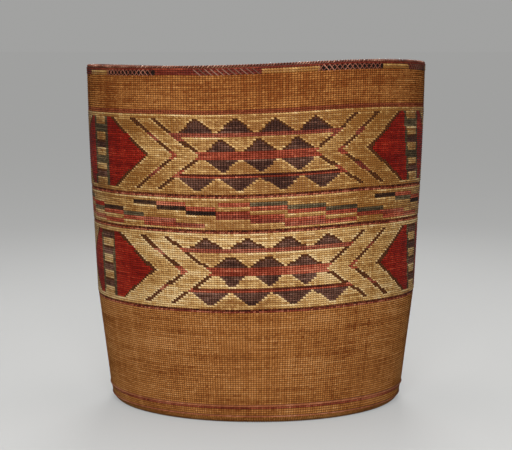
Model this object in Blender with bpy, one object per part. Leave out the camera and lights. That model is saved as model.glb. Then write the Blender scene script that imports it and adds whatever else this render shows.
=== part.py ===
"""A cooking basket of twined split root with bands of false embroidery.

The basket is built from the inside out: the inner ply of the twined weft, the frame of warp
strands, the outer ply in its zones, the raised and dyed rows, the grass overlay of each band
and the corded rim. All layers follow one faceted wall, so they lie against each other all
the way round with the same clearance. The front of the basket faces -Y.
"""
import bmesh
import bpy
from math import atan2, ceil, cos, floor, radians, sin, tan, tau
from mathutils import Vector
from mathutils.geometry import delaunay_2d_cdt

# Radii of the outer face, from the foot to the mouth
foot_radius = 0.1460
ridge_radius = 0.1482
lower_band_radius = 0.1600
middle_band_radius = 0.1638
upper_band_radius = 0.1659
shoulder_radius = 0.1689
mouth_radius = 0.1700

# Heights of the zones, stacked from the floor up
foot_height = 0.0165
ridge_height = 0.0022
lower_wall_height = 0.0899
dyed_rows_height = 0.0035
lower_band_height = 0.0720
middle_band_height = 0.0296
upper_band_height = 0.0745
upper_wall_height = 0.0364
rim_rows_height = 0.0068
rim_cord_diameter = 0.0022

# The rounded foot and the two raised rows round it
corner_radius = 0.0100
corner_sweep = radians(80)
low_ridge_level = 0.0064
low_ridge_height = 0.0017
ridge_swell = 0.0008

# Thickness of each layer, and the clearance between any two
inner_ply = 0.0009
warp_thickness = 0.0008
outer_ply = 0.0010
ground_overlay = 0.00035
motif_overlay = 0.00035
clearance = 0.0003
warp_width = 0.0022

# The hand of the weaver: how far the rows tilt, wave and dip at the foot, at the top of the
# lower band and at the rim, and how far the rim drops behind
waist_tilt = 0.0014
rim_tilt = 0.0011
foot_wave = 0.0011
waist_wave = 0.0018
rim_wave = 0.0029
waist_dip = 0.0010
rim_dip = 0.0006
back_drop = 0.0070

# Counts
warp_count = 384
facet_count = 34
facets_per_strand = 2
modelled_warps = facet_count // facets_per_strand
corner_steps = 4
cord_sides = 8

# Derived levels
ridge_level = foot_height + ridge_height
lower_band_bottom = ridge_level + lower_wall_height + dyed_rows_height
lower_band_top = lower_band_bottom + lower_band_height
middle_band_bottom = lower_band_top + dyed_rows_height
middle_band_top = middle_band_bottom + middle_band_height
upper_band_bottom = middle_band_top + dyed_rows_height
upper_band_top = upper_band_bottom + upper_band_height
rim_rows_bottom = upper_band_top + upper_wall_height
wall_top = rim_rows_bottom + rim_rows_height
basket_height = wall_top + clearance + rim_cord_diameter

# Tilt, wave and dip of the rows at three levels
hand_stations = (
    (ridge_level, 0, foot_wave, 0),
    (lower_band_top, waist_tilt, waist_wave, waist_dip),
    (basket_height, rim_tilt, rim_wave, rim_dip),
)

# Depth of each layer's outer face below the wall's outer face
band_ply_depth = clearance
warp_depth = outer_ply + clearance
inner_ply_depth = warp_depth + warp_thickness + clearance
wall_depth = inner_ply_depth + inner_ply

flat_base_radius = foot_radius - corner_radius * sin(corner_sweep)
facet_angle = tau / facet_count
stitch_angle = tau / warp_count
stitch_width = mouth_radius * stitch_angle
facet_width = mouth_radius * facet_angle
weld_distance = clearance / 100

wall_stations = (
    (corner_radius * (1 - cos(corner_sweep)), foot_radius),
    (ridge_level, ridge_radius),
    (lower_band_bottom, lower_band_radius),
    (middle_band_bottom, middle_band_radius),
    (upper_band_bottom, upper_band_radius),
    (upper_band_top, shoulder_radius),
    (basket_height, mouth_radius),
)

# The two embroidered bands, in stitches across and rows down from the band's top edge.
# The front panel is the widest; the other panels share what is left of the round.
upper_band = dict(
    name="upper_band", top=upper_band_top, height=upper_band_height, rows=39, centre=0.8,
    half_width=63, stitches_per_row=1.02, top_row=2.4, tip_row=20, bottom_row=37.2,
    inner_reach=18.4, outer_reach=27.9, field_reach=40.2,
    upright_pitch=14.2, upright_half=6.5, upright_rows=(2.5, 8.6),
    diamond_pitch=13.2, diamond_halves=(6.2, 5.7), diamond_rows=(12.4, 18.5, 22.3, 27.8),
    hanging_pitch=14.45, hanging_half=6.3, hanging_rows=(31.5, 37.2),
    bars=((8.6, 10.5), (29.6, 31.5)),
)
lower_band = dict(
    name="lower_band", top=lower_band_top, height=lower_band_height, rows=36, centre=5.1,
    half_width=66, stitches_per_row=1.1, top_row=2, tip_row=18.5, bottom_row=34.2,
    inner_reach=19, outer_reach=30, field_reach=43.3,
    upright_pitch=15, upright_half=7.2, upright_rows=(2.2, 7.5),
    diamond_pitch=13.2, diamond_halves=(6.4, 5.2), diamond_rows=(10.8, 15.8, 19.8, 25),
    hanging_pitch=14.6, hanging_half=6.6, hanging_rows=(28.5, 34),
    bars=((7.5, 8.9), (26.5, 28.5)),
)
panel_names = ("front", "right", "left")
upright_pitches = (-1.5, -0.5, 0.5, 1.5)
diamond_pitches = (-1, 0, 1)
lean_per_row = 0.06
stroke_stitches = 1.8
tip_stitches = 1
seam_stitches = 0.25
rail_stitches = 1.75
checker_stitches = 8.5
checker_cells = 9

# The stair blocks of the middle band, in chains whose blocks touch along their edges:
# first and last stitch, first and last row. The second half of the round repeats the first.
middle_band_rows = 15
half_round = warp_count // 2
middle_chain = (
    (-48, -37, 2, 4), (-37, -25, 2, 6), (-25, -13.5, 4, 8), (-13.5, -2, 6, 10),
    (-2, 10.5, 8, 12), (10.5, 24.75, 10, 14), (24.75, 38, 12, 14),
    (-13, -1.5, 2, 4), (-1.5, 11, 2, 6), (11, 25.25, 4, 8), (25.25, 38, 6, 10),
    (38, 51.5, 8, 12.5), (51.5, 65.5, 10, 14), (65.5, 79, 12, 14),
)
side_chain = (
    (46, 58, 2, 4), (58, 71, 2, 6), (71, 84, 4, 8), (84, 98, 6, 10),
    (98, 112, 8, 12), (112, 124.5, 10, 14), (124.5, 138, 12, 14),
    (86, 98.5, 2, 4), (98.5, 112.5, 2, 6), (112.5, 125, 4, 8), (125, 138, 6, 10),
    (138, 150, 8, 12.5), (150, 163, 10, 14), (163, 174, 12, 14),
)

# Colours as they look under plain light
colours = dict(
    root=(0.42, 0.18, 0.06), inner_root=(0.36, 0.16, 0.06), warp=(0.46, 0.24, 0.10),
    dyed_root=(0.17, 0.03, 0.015), cord=(0.33, 0.12, 0.06), straw=(0.60, 0.36, 0.11),
    red=(0.38, 0.02, 0.015), dark=(0.06, 0.03, 0.03), maroon=(0.18, 0.02, 0.02),
    green=(0.04, 0.045, 0.025),
)
root_roughness = 0.75


def wall_radius(level):
    """Radius of the wall's outer face at a level."""
    for (low, low_radius), (high, high_radius) in zip(wall_stations, wall_stations[1:]):
        if level <= high:
            break
    share = (level - low) / (high - low)
    return low_radius + (high_radius - low_radius) * share


def hand_at(level):
    """How far the rows tilt, wave and dip at a level."""
    for (low, *lower), (high, *upper) in zip(hand_stations, hand_stations[1:]):
        if level <= high:
            break
    share = max(level - low, 0) / (high - low)
    return [start + (end - start) * share for start, end in zip(lower, upper)]


def settle(point):
    """Lift or drop a point as the rows of a handmade basket tilt, wave and dip."""
    start = wall_stations[0][0]
    ramp = min(max((point.z - start) / (ridge_level - start), 0), 1)
    rise_share = max(point.z - ridge_level, 0) / (basket_height - ridge_level)
    tilt, wave, dip = hand_at(point.z)
    azimuth = atan2(point.x, -point.y)
    front = (1 + cos(azimuth)) / 2
    behind = 1 - front
    lift = tilt * sin(azimuth) + front * (wave * sin(2 * azimuth) - dip * cos(4 * azimuth))
    point.z += ramp * (lift - back_drop * (behind * rise_share) ** 2)


def make_object(name, bm, dye):
    """Finish a mesh and make it one named object with its own material."""
    for vert in bm.verts:
        settle(vert.co)
    mesh = bpy.data.meshes.new(name)
    bm.to_mesh(mesh)
    bm.free()
    obj = bpy.data.objects.new(name, mesh)
    bpy.context.collection.objects.link(obj)
    material = bpy.data.materials.new(name + "_" + dye)
    material.use_nodes = True
    shader = material.node_tree.nodes["Principled BSDF"]
    shader.inputs["Base Color"].default_value = (*colours[dye], 1)
    shader.inputs["Roughness"].default_value = root_roughness
    mesh.materials.append(material)
    return obj


def turned(name, outline, dye):
    """Turn a closed outline of (radius, level) points round the basket's axis."""
    bm = bmesh.new()
    start = -facet_angle / 2
    verts = [bm.verts.new((r * sin(start), -r * cos(start), z)) for r, z in outline]
    edges = [bm.edges.new(pair) for pair in zip(verts, verts[1:])]
    if outline[0][0] > 0:
        edges.append(bm.edges.new((verts[-1], verts[0])))
    bmesh.ops.spin(
        bm, geom=verts + edges, cent=(0, 0, 0), axis=(0, 0, 1), angle=tau,
        steps=facet_count, use_merge=True)
    bmesh.ops.remove_doubles(bm, verts=bm.verts[:], dist=weld_distance)
    bmesh.ops.recalc_face_normals(bm, faces=bm.faces[:])
    return make_object(name, bm, dye)


def wall_side(low, high, depth):
    """Outline points up the wall at a depth, with the wall's own stations between."""
    between = [level for level, radius in wall_stations if low < level < high]
    return [(wall_radius(level) - depth, level) for level in (low, *between, high)]


def shell_side(top, depth):
    """Outline points from the flat of the base round the corner and up to a level."""
    points = []
    reach = corner_radius - depth
    for step in range(corner_steps + 1):
        turn = corner_sweep * step / corner_steps
        points.append((flat_base_radius + reach * sin(turn), corner_radius - reach * cos(turn)))
    levels = [level for level, radius in wall_stations[1:] if level < top]
    return points + [(wall_radius(level) - depth, level) for level in (*levels, top)]


def shell(name, top, outer_depth, inner_depth, dye):
    """One ply of the rounded foot and of the wall up to a level."""
    outline = shell_side(top, outer_depth) + shell_side(top, inner_depth)[::-1]
    return turned(name, outline, dye)


def disc(name, lower_depth, upper_depth, dye):
    """One ply of the flat base, which ends where the foot's corner begins."""
    radius = flat_base_radius - clearance
    outline = [(0, lower_depth), (radius, lower_depth), (radius, upper_depth), (0, upper_depth)]
    return turned(name, outline, dye)


def course_ring(name, low, high, outer_depth, dye="root"):
    """One zone of the outer ply, with its joints to the zones below and above."""
    low, high = low + clearance / 2, high - clearance / 2
    outline = wall_side(low, high, outer_depth) + wall_side(low, high, outer_ply)[::-1]
    return turned(name, outline, dye)


def overlay_ring(name, low, high, base, thickness, dye):
    """Grass overlay that goes all the way round, resting on the course below it."""
    low, high = low + clearance, high - clearance
    outline = wall_side(low, high, -base - thickness) + wall_side(low, high, -base)[::-1]
    return turned(name, outline, dye)


def ridge_ring(name, low, high, inner_depth, dye):
    """A raised row of three-strand twining, bellied between its two edges."""
    third = (high - low) / 3
    edge_depth = min(inner_depth, 0)
    swell = edge_depth - ridge_swell
    outline = [(wall_radius(level) - depth, level) for level, depth in (
        (low, edge_depth), (low + third, swell), (high - third, swell), (high, edge_depth))]
    if inner_depth > edge_depth:
        outline += [(wall_radius(level) - inner_depth, level) for level in (high, low)]
    return turned(name, outline, dye)


def warp_frame():
    """Flat warp strands that cross in a bound start and run out and up to the rim."""
    facet_share = cos(facet_angle / 2)
    spread = tau / modelled_warps
    start_reach = warp_width / 2 / tan(spread / 2)
    paths = []
    for depth in (warp_depth, warp_depth + warp_thickness):
        outline = shell_side(wall_top - clearance, depth)
        paths.append([(radius * facet_share, level) for radius, level in outline])

    bm = bmesh.new()
    start_corners = []
    for depth in (warp_depth, warp_depth + warp_thickness):
        ring = []
        for index in range(modelled_warps):
            angle = (index - 0.5) * spread
            radius = start_reach / cos(spread / 2)
            ring.append(bm.verts.new((radius * sin(angle), -radius * cos(angle), depth)))
        start_corners.append(ring)
        bm.faces.new(ring)
    for index in range(modelled_warps):
        angle = index * spread
        across = Vector((cos(angle), sin(angle), 0)) * warp_width / 2
        outward = Vector((sin(angle), -cos(angle), 0))
        rows = []
        for path, corners in zip(paths, start_corners):
            sides = [[corners[index]], [corners[(index + 1) % modelled_warps]]]
            for reach, level in path:
                middle = outward * reach + Vector((0, 0, level))
                sides[0].append(bm.verts.new(middle - across))
                sides[1].append(bm.verts.new(middle + across))
            rows += sides
        outer_left, outer_right, inner_left, inner_right = rows
        loop = (outer_left, outer_right, inner_right, inner_left)
        for one, other in zip(loop, loop[1:] + loop[:1]):
            for step in range(len(one) - 1):
                bm.faces.new((one[step], other[step], other[step + 1], one[step + 1]))
        bm.faces.new([side[-1] for side in loop])
    bmesh.ops.recalc_face_normals(bm, faces=bm.faces[:])
    return make_object("warp_frame", bm, "warp")


def rim_cord():
    """The corded edge that closes the rim, seated on the top of the wall."""
    radius = rim_cord_diameter / 2
    centre_radius = wall_radius(wall_top) - wall_depth / 2
    centre_level = wall_top + clearance + radius
    turns = [(side + 0.5) * tau / cord_sides for side in range(cord_sides)]
    outline = [(centre_radius + radius * cos(t), centre_level + radius * sin(t)) for t in turns]
    return turned("rim_cord", outline, "cord")


def facet_corner(index, radius, level):
    """One corner of the faceted wall; facet 0 is centred on the front."""
    angle = (index - 0.5) * facet_angle
    return Vector((radius * sin(angle), -radius * cos(angle), level))


def wrap_sheet(bm):
    """Bend a flat sheet (x along the rows, y up, z outward) onto the faceted wall."""
    for vert in bm.verts:
        along, level, out = vert.co
        turn = (along + facet_width / 2) / facet_width
        index = floor(turn)
        radius = wall_radius(level) + out
        left = facet_corner(index, radius, level)
        vert.co = left.lerp(facet_corner(index + 1, radius, level), turn - index)


def cut_at_facets(bm):
    """Cut a flat sheet along the lines where the wall's facets meet."""
    ends = [vert.co.x / facet_width for vert in bm.verts]
    for index in range(floor(min(ends)), ceil(max(ends)) + 1):
        bmesh.ops.bisect_plane(
            bm, geom=bm.verts[:] + bm.edges[:] + bm.faces[:], dist=weld_distance,
            plane_co=((index + 0.5) * facet_width, 0, 0), plane_no=(1, 0, 0))


def joined_sheet(shapes):
    """One flat sheet of triangles that covers shapes which overlap or touch."""
    rough = bmesh.new()
    for shape in shapes:
        face = rough.faces.new([rough.verts.new((along, level, 0)) for along, level in shape])
        face.normal_update()
        if face.normal.z < 0:
            face.normal_flip()
    cut_at_facets(rough)
    rough.verts.index_update()
    points = [vert.co.xy for vert in rough.verts]
    cells = [[vert.index for vert in face.verts] for face in rough.faces]
    rough.free()
    inside_only = 1
    points, _, faces, _, _, owners = delaunay_2d_cdt(
        points, [], cells, inside_only, weld_distance)
    sheet = bmesh.new()
    verts = [sheet.verts.new((*point, 0)) for point in points]
    for face, owner in zip(faces, owners):
        if owner:
            sheet.faces.new([verts[index] for index in face])
    loose = [vert for vert in verts if not vert.link_faces]
    bmesh.ops.delete(sheet, geom=loose, context="VERTS")
    return sheet


def overlay(name, shapes, dye):
    """Lay flat shapes of (along, level) points over the band's ground as one thin piece."""
    bm = joined_sheet(shapes)
    for vert in bm.verts:
        vert.co.z = ground_overlay + clearance
    grown = bmesh.ops.extrude_face_region(bm, geom=bm.faces[:])
    for item in grown["geom"]:
        if isinstance(item, bmesh.types.BMVert):
            item.co.z += motif_overlay
    bmesh.ops.recalc_face_normals(bm, faces=bm.faces[:])
    wrap_sheet(bm)
    return make_object(name, bm, dye)


def box(left, right, first_row, last_row):
    return [(left, last_row), (right, last_row), (right, first_row), (left, first_row)]


def wedge(centre, half_base, tip_row, base_row):
    """A triangle with a tip one stitch wide."""
    half_tip = tip_stitches / 2
    return [(centre - half_base, base_row), (centre + half_base, base_row),
            (centre + half_tip, tip_row), (centre - half_tip, tip_row)]


def reach_at(band, reach, row):
    """How far a chevron's inner edge is from the centre line at a row."""
    return reach + abs(row - band["tip_row"]) * band["stitches_per_row"]


def chevron(band, reach):
    """The two arms of one chevron on the right of the centre line."""
    shapes = []
    for rows in ((band["top_row"], band["tip_row"]), (band["tip_row"], band["bottom_row"])):
        inner = [(reach_at(band, reach, row), row) for row in rows]
        shapes.append(inner + [(stitch + stroke_stitches, row) for stitch, row in inner[::-1]])
    return shapes


def mirrored(shapes):
    return [[(-stitch, row) for stitch, row in shape] for shape in shapes]


def bar(band, first_row, last_row):
    """A bar whose ends run into the innermost chevrons."""
    reaches = [reach_at(band, band["inner_reach"], row) + stroke_stitches / 2
               for row in (first_row, last_row)]
    return [(-reaches[1], last_row), (reaches[1], last_row),
            (reaches[0], first_row), (-reaches[0], first_row)]


def figure(band):
    """The centre of a panel: chevrons, bars, upright and hanging triangles and diamonds."""
    inner = chevron(band, band["inner_reach"])
    first, above, below, last = band["diamond_rows"]
    bars = [bar(band, *rows) for rows in (*band["bars"], (above, below))]
    upright_tip, upright_base = band["upright_rows"]
    hanging_base, hanging_tip = band["hanging_rows"]
    upper_half, lower_half = band["diamond_halves"]
    wedges = []
    for pitches in upright_pitches:
        wedges.append(wedge(band["upright_pitch"] * pitches, band["upright_half"],
                            upright_tip, upright_base))
        wedges.append(wedge(band["hanging_pitch"] * pitches, band["hanging_half"],
                            hanging_tip, hanging_base))
    for pitches in diamond_pitches:
        centre = band["diamond_pitch"] * pitches
        wedges.append(wedge(centre, upper_half, first, above))
        wedges.append(wedge(centre, lower_half, last, below))
    return inner + mirrored(inner) + bars + wedges


def red_field(band):
    """The red triangle beside the divider, within its dark border."""
    rows = (band["top_row"], band["tip_row"], band["bottom_row"])
    edge = [(reach_at(band, band["field_reach"], row), row) for row in rows]
    side = band["half_width"] - seam_stitches
    return [edge + [(side, band["bottom_row"]), (side, band["top_row"])]]


def divider(band):
    """Two upright rails with the dark cells of the checker between them."""
    top, bottom = band["top_row"], band["bottom_row"]
    half = checker_stitches / 2
    cell = (bottom - top) / checker_cells
    shapes = [box(side - rail_stitches / 2, side + rail_stitches / 2, top, bottom)
              for side in (-half - rail_stitches / 2, half + rail_stitches / 2)]
    reach = half + rail_stitches / 2
    for index in range(1, checker_cells, 2):
        shapes.append(box(-reach, reach, top + cell * index, top + cell * (index + 1)))
    return shapes


def place(band, shapes, centre, width_share=1):
    """Put shapes of (stitch, row) points round the wall, leaning as the band leans."""
    row_height = band["height"] / band["rows"]
    placed = []
    for shape in shapes:
        placed.append([])
        for stitch, row in shape:
            lean = band.get("lean_per_row", lean_per_row) * (row - band["tip_row"])
            column = centre + stitch * width_share + lean
            placed[-1].append((column * stitch_width, band["top"] - row * row_height))
    return placed


def embroidered_band(band):
    """The dyed overlay of one band: three panels with a divider between each two."""
    divider_width = checker_stitches + 2 * rail_stitches
    others_width = warp_count - 2 * band["half_width"] - len(panel_names) * divider_width
    narrow_half = others_width / (len(panel_names) - 1) / 2
    front_reach = band["half_width"] + divider_width
    narrow_share = narrow_half / band["half_width"]
    panels = (
        (0, 1, front_reach - divider_width / 2),
        (front_reach + narrow_half, narrow_share, half_round),
        (-front_reach - narrow_half, narrow_share, -front_reach + divider_width / 2),
    )
    motifs = (
        ("figure", figure(band), "dark"),
        ("left_chevron", mirrored(chevron(band, band["outer_reach"])), "dark"),
        ("right_chevron", chevron(band, band["outer_reach"]), "dark"),
        ("left_triangle", mirrored(red_field(band)), "red"),
        ("right_triangle", red_field(band), "red"),
    )
    for panel, (centre, share, divider_centre) in zip(panel_names, panels):
        stem = band["name"] + "_" + panel
        for part, shapes, dye in motifs:
            overlay(stem + "_" + part, place(band, shapes, band["centre"] + centre, share), dye)
        shapes = place(band, divider(band), band["centre"] + divider_centre)
        overlay(stem + "_divider", shapes, "green")


def stair_band():
    """The stepped blocks that climb round the middle band, four chains of them."""
    band = dict(top=middle_band_top, height=middle_band_height, rows=middle_band_rows,
                tip_row=0, lean_per_row=0)
    for name, chain, dye in (("stairs", middle_chain, "red"), ("side_stairs", side_chain, "maroon")):
        shapes = [box(*block) for block in chain]
        overlay("front_" + name, place(band, shapes, 0), dye)
        overlay("back_" + name, place(band, shapes, half_round), dye)


def build():
    for obj in list(bpy.data.objects):
        bpy.data.objects.remove(obj)

    warp_frame()
    disc("inner_base_courses", inner_ply_depth, wall_depth, "inner_root")
    shell("inner_courses", wall_top, inner_ply_depth, wall_depth, "inner_root")
    disc("base_courses", 0, outer_ply, "root")
    shell("foot_courses", foot_height - clearance / 2, 0, outer_ply, "root")
    ridge_ring("foot_ridge_lower", low_ridge_level, low_ridge_level + low_ridge_height,
               -clearance, "dyed_root")
    ridge_ring("foot_ridge_upper", foot_height + clearance / 2, ridge_level - clearance / 2,
               outer_ply, "dyed_root")

    lower_wall_top = lower_band_bottom - dyed_rows_height
    course_ring("lower_wall_courses", ridge_level, lower_wall_top, 0)
    course_ring("dyed_rows_low", lower_wall_top, lower_band_bottom, 0, "dyed_root")
    course_ring("lower_band_courses", lower_band_bottom, lower_band_top, band_ply_depth)
    course_ring("dyed_rows_middle", lower_band_top, middle_band_bottom, 0, "dyed_root")
    course_ring("middle_band_courses", middle_band_bottom, middle_band_top, band_ply_depth)
    course_ring("dyed_rows_high", middle_band_top, upper_band_bottom, 0, "dyed_root")
    course_ring("upper_band_courses", upper_band_bottom, upper_band_top, band_ply_depth)
    course_ring("upper_wall_courses", upper_band_top, wall_top, 0)
    rim_cord()

    overlay_ring("lower_band_ground", lower_band_bottom, lower_band_top, 0, ground_overlay, "straw")
    overlay_ring("middle_band_ground", middle_band_bottom, middle_band_top, 0, ground_overlay,
                 "straw")
    overlay_ring("upper_band_ground", upper_band_bottom, upper_band_top, 0, ground_overlay, "straw")
    overlay_ring("rim_rows_overlay", rim_rows_bottom, wall_top, clearance, motif_overlay, "straw")
    embroidered_band(upper_band)
    embroidered_band(lower_band)
    stair_band()


build()
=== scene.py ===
"""The looks of the twined cooking basket: every stitch of its weave, modelled one by one.

The wall is a stack of rows. Each row holds one stitch per warp, and a design says which dye
each stitch has. The stitches are gathered into one piece per zone and dye, and each piece
stands for the CAD nodes of the same zone. Lengths are in metres and the front faces -Y. A
column is a place round the basket, in stitches from the middle of the front.
"""
from math import pi, radians, sin, cos, sqrt, tau

import bpy
import numpy as np
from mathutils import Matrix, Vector


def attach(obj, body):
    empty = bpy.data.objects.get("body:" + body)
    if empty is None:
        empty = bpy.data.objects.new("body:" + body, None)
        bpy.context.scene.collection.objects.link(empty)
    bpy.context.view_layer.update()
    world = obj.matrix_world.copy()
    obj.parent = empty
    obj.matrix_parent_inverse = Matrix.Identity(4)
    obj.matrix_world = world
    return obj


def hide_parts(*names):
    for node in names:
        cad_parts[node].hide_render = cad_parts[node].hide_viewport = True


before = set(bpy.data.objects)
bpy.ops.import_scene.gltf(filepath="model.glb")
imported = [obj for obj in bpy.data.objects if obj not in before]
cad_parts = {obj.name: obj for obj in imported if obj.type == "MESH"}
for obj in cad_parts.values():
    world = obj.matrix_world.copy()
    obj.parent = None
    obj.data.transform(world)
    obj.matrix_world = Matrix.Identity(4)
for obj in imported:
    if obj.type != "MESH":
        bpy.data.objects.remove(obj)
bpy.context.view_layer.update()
random = np.random.default_rng(7)

MM = 0.001
WARPS = 384
STITCH_ANGLE = tau / WARPS
COLUMNS = np.arange(WARPS) - WARPS / 2 + 0.5
FLAT_BASE_RADIUS = 0.13615
CORNER_RADIUS = 0.0100
WALL_BOTTOM = 0.0064
FOOT_LEVEL = 0.00826
RIDGE_LEVEL = 0.0187
WALL_TOP = 0.3384
BASKET_HEIGHT = 0.3409
WALL_DEPTH = 0.0033
BACK_DROP = 0.0070

# How far the corner of the foot turns outside, inside and along the warps, and its rows
OUTER_TURN, OUTER_CORNER_ROWS = radians(68.9), 6
INNER_TURN, INNER_CORNER_ROWS = radians(75), 5
WARP_TURN, WARP_CORNER_STEPS = radians(80), 5

# Zones of the wall from the floor up: name, top, rows, kind of stitch
ZONES = (
    ("foot_ridge_lower", 0.0081, 1, "ridge"),
    ("foot", 0.0165, 4, "plain"),
    ("foot_ridge_upper", RIDGE_LEVEL, 1, "ridge"),
    ("lower_wall", 0.1086, 44, "plain"),
    ("dyed_rows_low", 0.1121, 2, "plain"),
    ("lower_band", 0.1841, 36, "overlay"),
    ("dyed_rows_middle", 0.1876, 2, "plain"),
    ("middle_band", 0.2172, 15, "overlay"),
    ("dyed_rows_high", 0.2207, 2, "plain"),
    ("upper_band", 0.2952, 39, "overlay"),
    ("upper_wall", 0.3316, 18, "plain"),
    ("rim_rows", WALL_TOP, 3, "overlay"),
)
TOPS = {zone: top for zone, top, *_ in ZONES}
LOWER_WALL_SPLIT_ROW = 22
RUDDY_ROW = 16
INNER_PART_HEIGHT = 0.12

# Level and outer radius along the wall, as in the CAD
STATIONS = np.array((
    (WALL_BOTTOM, 0.1455), (FOOT_LEVEL, 0.1460), (RIDGE_LEVEL, 0.1482),
    (TOPS["dyed_rows_low"], 0.1600), (TOPS["dyed_rows_middle"], 0.1638),
    (TOPS["dyed_rows_high"], 0.1659), (TOPS["upper_band"], 0.1689), (BASKET_HEIGHT, 0.1700)))

# Level, tilt, wave and dip of the rows of a handmade basket, as in the CAD
HAND = np.array((
    (RIDGE_LEVEL, 0, 0.0011, 0), (TOPS["lower_band"], 0.0014, 0.0018, 0.0010),
    (BASKET_HEIGHT, 0.0011, 0.0029, 0.0006)))

# Rings of the flat base: where the first starts, how many, and the stitches in a ring that
# starts nearer the middle than each radius
FIRST_RING_RADIUS = 0.0002
BASE_RINGS = 65
RING_STITCHES = ((0.012, 16), (0.024, 32), (0.040, 64), (0.064, 128), (0.098, 192), (1, WARPS))

# One stitch, in sections along its length: how far it reaches and leans (in stitches and
# rows), the half width of each section in rows, the heights in mm of its crest and its edges,
# and how free it is of grime and of painted shade at its ends and along its sides
STITCHES = dict(
    plain=dict(reach=0.53, lean=0.05, halves=(0.40, 0.48, 0.50, 0.48, 0.40), ends=0.18,
               sides=0.05, crest=(-0.85, -0.20, 0, -0.20, -0.85),
               edge=(-1.0, -0.62, -0.50, -0.62, -1.0)),
    overlay=dict(reach=0.56, lean=-0.14, halves=(0.42, 0.50, 0.52, 0.50, 0.42), ends=0.45,
                 sides=0.02, crest=(-0.20, 0.24, 0.35, 0.24, -0.20),
                 edge=(-0.55, -0.34, -0.28, -0.34, -0.55)),
    ribbed=dict(reach=0.55, lean=-0.10, halves=(0.40, 0.48, 0.50, 0.48, 0.40), ends=0.04,
                sides=0.10, crest=(-0.50, 0.20, 0.36, 0.20, -0.50),
                edge=(-0.7, -0.30, -0.20, -0.30, -0.7)),
    ridge=dict(reach=0.85, lean=0.24, halves=(0.26, 0.42, 0.46, 0.42, 0.26), ends=0.15,
               sides=0.10, crest=(-0.5, 0.5, 0.8, 0.5, -0.5), edge=(-0.8, -0.2, 0, -0.2, -0.8)),
    inner=dict(reach=0.54, lean=0.07, halves=(0.40, 0.50, 0.40), ends=0.15, sides=0.12,
               crest=(-0.6, 0, -0.6), edge=(-0.8, -0.6, -0.8)),
)
RIBBED_DYES = ("rust", "purple", "black", "tooth", "maroon", "green")
# How free a stitch is of grime and painted shade halfway to its ends
HALFWAY_CLEAN_AND_UNSHADED = 0.85

# How far handwork strays: a stitch's place in rows and its depth in mm, a row's edge in rows,
# the sway of the warps in stitches, the drift of the rows, and where sway and drift set in
STITCH_STRAY = 0.03
STITCH_SUNK = 0.05
ROW_STRAY = 0.035
WARP_SWAY = 0.10
ROW_DRIFT = 0.16 * MM
SWAY_RISE = 0.02
DRIFT_RISE = 0.01

# The smooth noises: seed and most waves in the round of each, the waves that are summed, and
# the height that a wave takes to pass
SWAY_NOISE, DRIFT_NOISE, PATCH_NOISE, CORD_NOISE = (3, 6), (4, 14), (11, 9), (21, 40)
NOISE_WAVES = 5
NOISE_HEIGHT = 0.06

# Spread of the shades: of each stitch, of a row, of a warp; then of broad patches and of the
# strands, each as long as a run of stitches, on plain and on banded rows
OWN_SPREAD = 0.10
ROW_SPREAD, INNER_ROW_SPREAD = 0.06, 0.07
WARP_SPREAD, INNER_WARP_SPREAD = 0.07, 0.06
PLAIN_SPREADS, BANDED_SPREADS = (0.10, 0.08), (0.16, 0.14)
STRAND_RUN = 9
MIDDLE_SHADE = 0.5
UNDERSIDE_DARKER = 0.05
# Painted highlight on straw beside dyed grass and on a band's top row, in shades
STRAW_EDGE_HIGHLIGHT = 0.3
DYED_ROW_SHADES, DYED_ROW_SHARES = (-0.2, 0.3), (0.4, 0.6)

# How much darker each zone, and its straw, is made, in shades
ZONE_DARKER = dict(upper_wall=0.22, upper_band=0.22, rim_rows=0.55)
STRAW_DARKER = dict(upper_band=0.15, middle_band=0.36)

# The dyes: groove colour for grime and painted shade, dark, middle and light shade in sRGB,
# roughness, specular, and the slot
DYES = dict(
    root=((58, 22, 3), (134, 74, 32), (182, 120, 62), (212, 152, 92), 0.72, 0.04, "root"),
    ruddy=((52, 12, 3), (112, 52, 28), (156, 84, 50), (190, 118, 76), 0.72, 0.06, "root"),
    inner_root=((56, 32, 14), (112, 70, 36), (154, 106, 60), (184, 138, 88), 0.75, 0.10,
                "inner_root"),
    dyed_root=((30, 4, 0), (100, 30, 14), (152, 68, 42), (204, 126, 92), 0.66, 0.14, "dyed_root"),
    umber=((12, 2, 0), (48, 10, 2), (86, 30, 10), (128, 62, 32), 0.66, 0.10, "dyed_root"),
    ridge=((50, 15, 2), (130, 70, 40), (170, 100, 62), (206, 140, 102), 0.62, 0.12, "dyed_root"),
    cord=((20, 3, 0), (84, 36, 22), (140, 82, 62), (206, 150, 124), 0.60, 0.16, "cord_root"),
    warp=((60, 34, 14), (120, 84, 48), (172, 128, 80), (200, 160, 110), 0.75, 0.10, "bare_root"),
    straw=((72, 32, 4), (146, 98, 42), (208, 164, 98), (242, 210, 152), 0.54, 0.18,
           "straw_grass"),
    red=((50, 2, 0), (112, 18, 8), (156, 36, 20), (192, 70, 44), 0.58, 0.10, "red_grass"),
    rust=((56, 8, 2), (116, 42, 22), (172, 80, 54), (212, 128, 94), 0.62, 0.10, "red_grass"),
    purple=((8, 2, 0), (62, 32, 22), (104, 66, 50), (146, 106, 88), 0.62, 0.12, "dark_grass"),
    black=((6, 1, 0), (24, 10, 4), (48, 26, 16), (88, 58, 38), 0.64, 0.10, "dark_grass"),
    tooth=((92, 50, 18), (22, 7, 2), (42, 18, 8), (76, 42, 24), 0.64, 0.10, "dark_grass"),
    maroon=((34, 3, 0), (112, 42, 26), (158, 78, 54), (198, 124, 94), 0.60, 0.12,
            "maroon_grass"),
    green=((16, 8, 2), (60, 46, 28), (98, 82, 56), (142, 120, 88), 0.62, 0.12, "green_grass"),
)
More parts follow.
